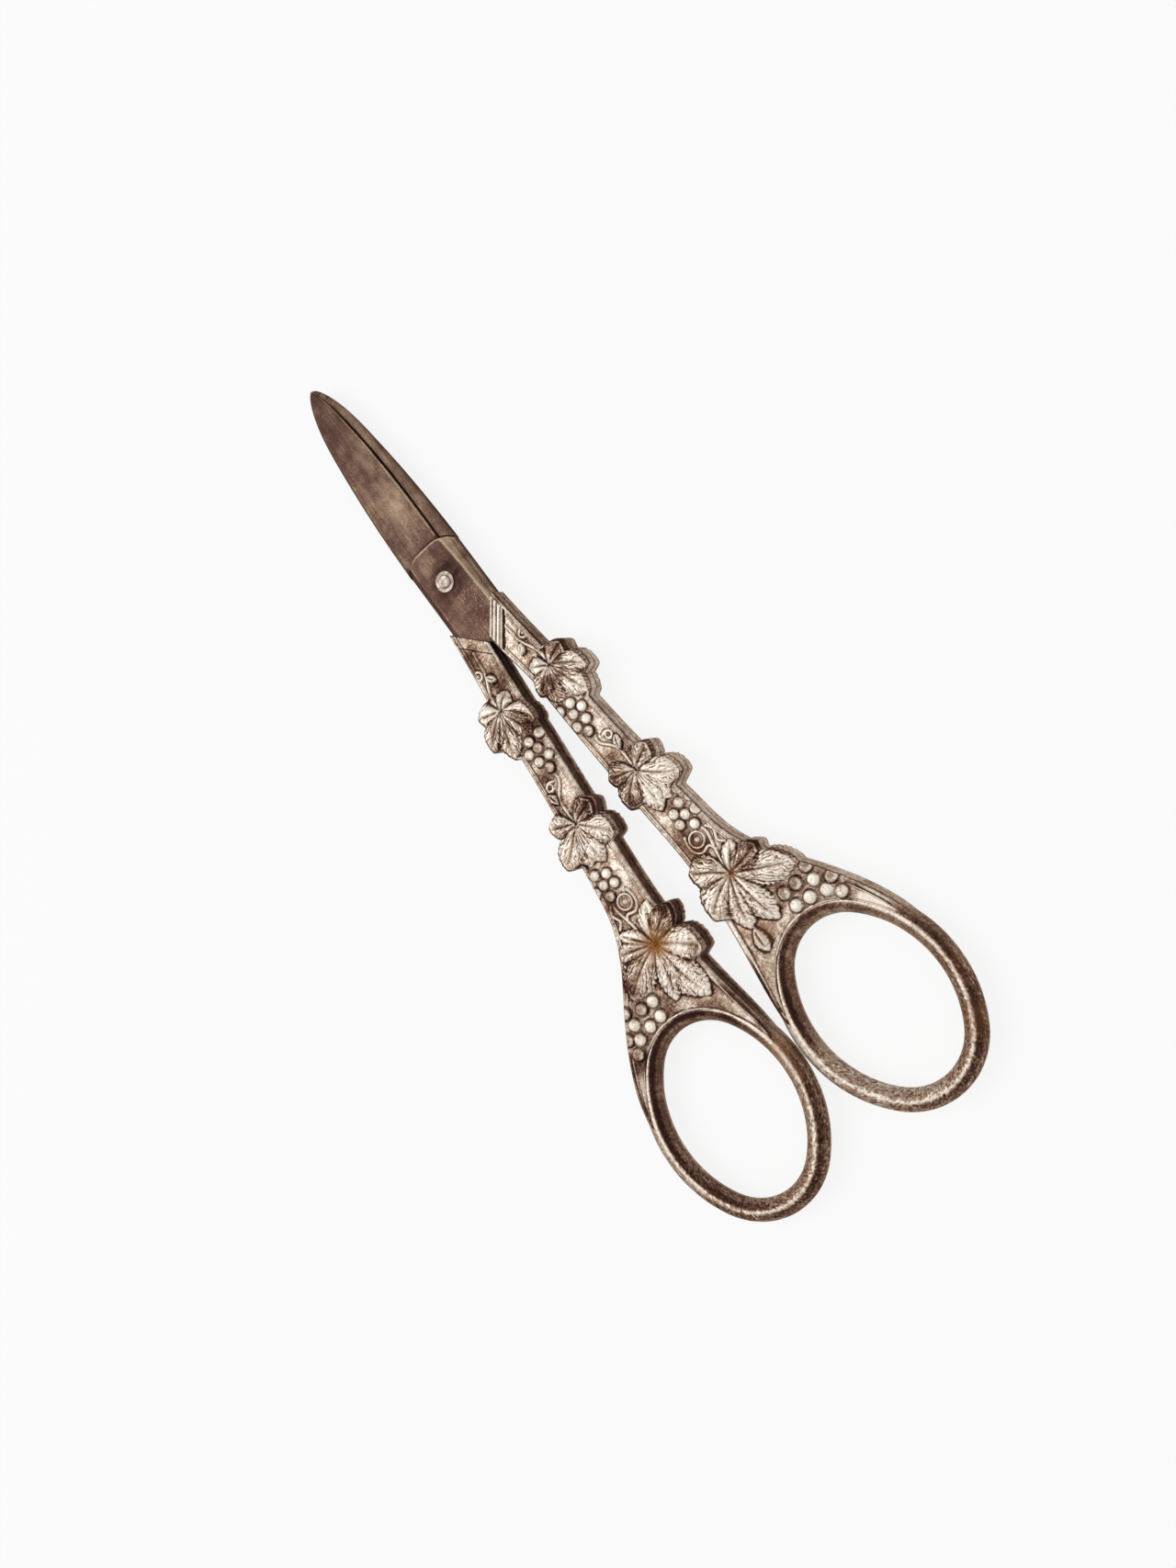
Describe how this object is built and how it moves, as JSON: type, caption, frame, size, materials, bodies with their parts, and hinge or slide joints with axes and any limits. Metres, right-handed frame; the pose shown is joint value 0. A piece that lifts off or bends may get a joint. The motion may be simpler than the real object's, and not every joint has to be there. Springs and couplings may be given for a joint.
{
  "type": "grape shears",
  "caption": "Table shears for cutting small bunches of grapes, with lapped blades that hold the cut stem and vine-ornamented handles ending in oval finger bows.",
  "frame": {"origin": "on the surface that the closed shears lie on, under the middle of their length and width", "axes": "+Y towards the blade tips, +X to the right handle, +Z out of the front face, along the rivet"},
  "size_m": [0.0634, 0.165, 0.0061],
  "materials": {
    "blade_steel": "darkened, worn",
    "handle_metal": "tarnished silver plate",
    "filling": "dull cement",
    "rivet_metal": "polished, tarnished"
  },
  "bodies": {
    "left_half": {"back_blade": "blade_steel", "left_handle_front": "handle_metal", "left_handle_back": "handle_metal", "left_handle_filling": "filling", "rivet": "rivet_metal", "front_washer": "rivet_metal", "back_washer": "rivet_metal"},
    "right_half": {"front_blade": "blade_steel", "right_handle_front": "handle_metal", "right_handle_back": "handle_metal", "right_handle_filling": "filling"}
  },
  "joints": [
    {"name": "pivot", "type": "hinge", "parent": "left_half", "child": "right_half", "pos_m": [0, 0.0374, 0.00305], "axis": [0, 0, 1], "range_deg": [0, 38]}
  ]
}
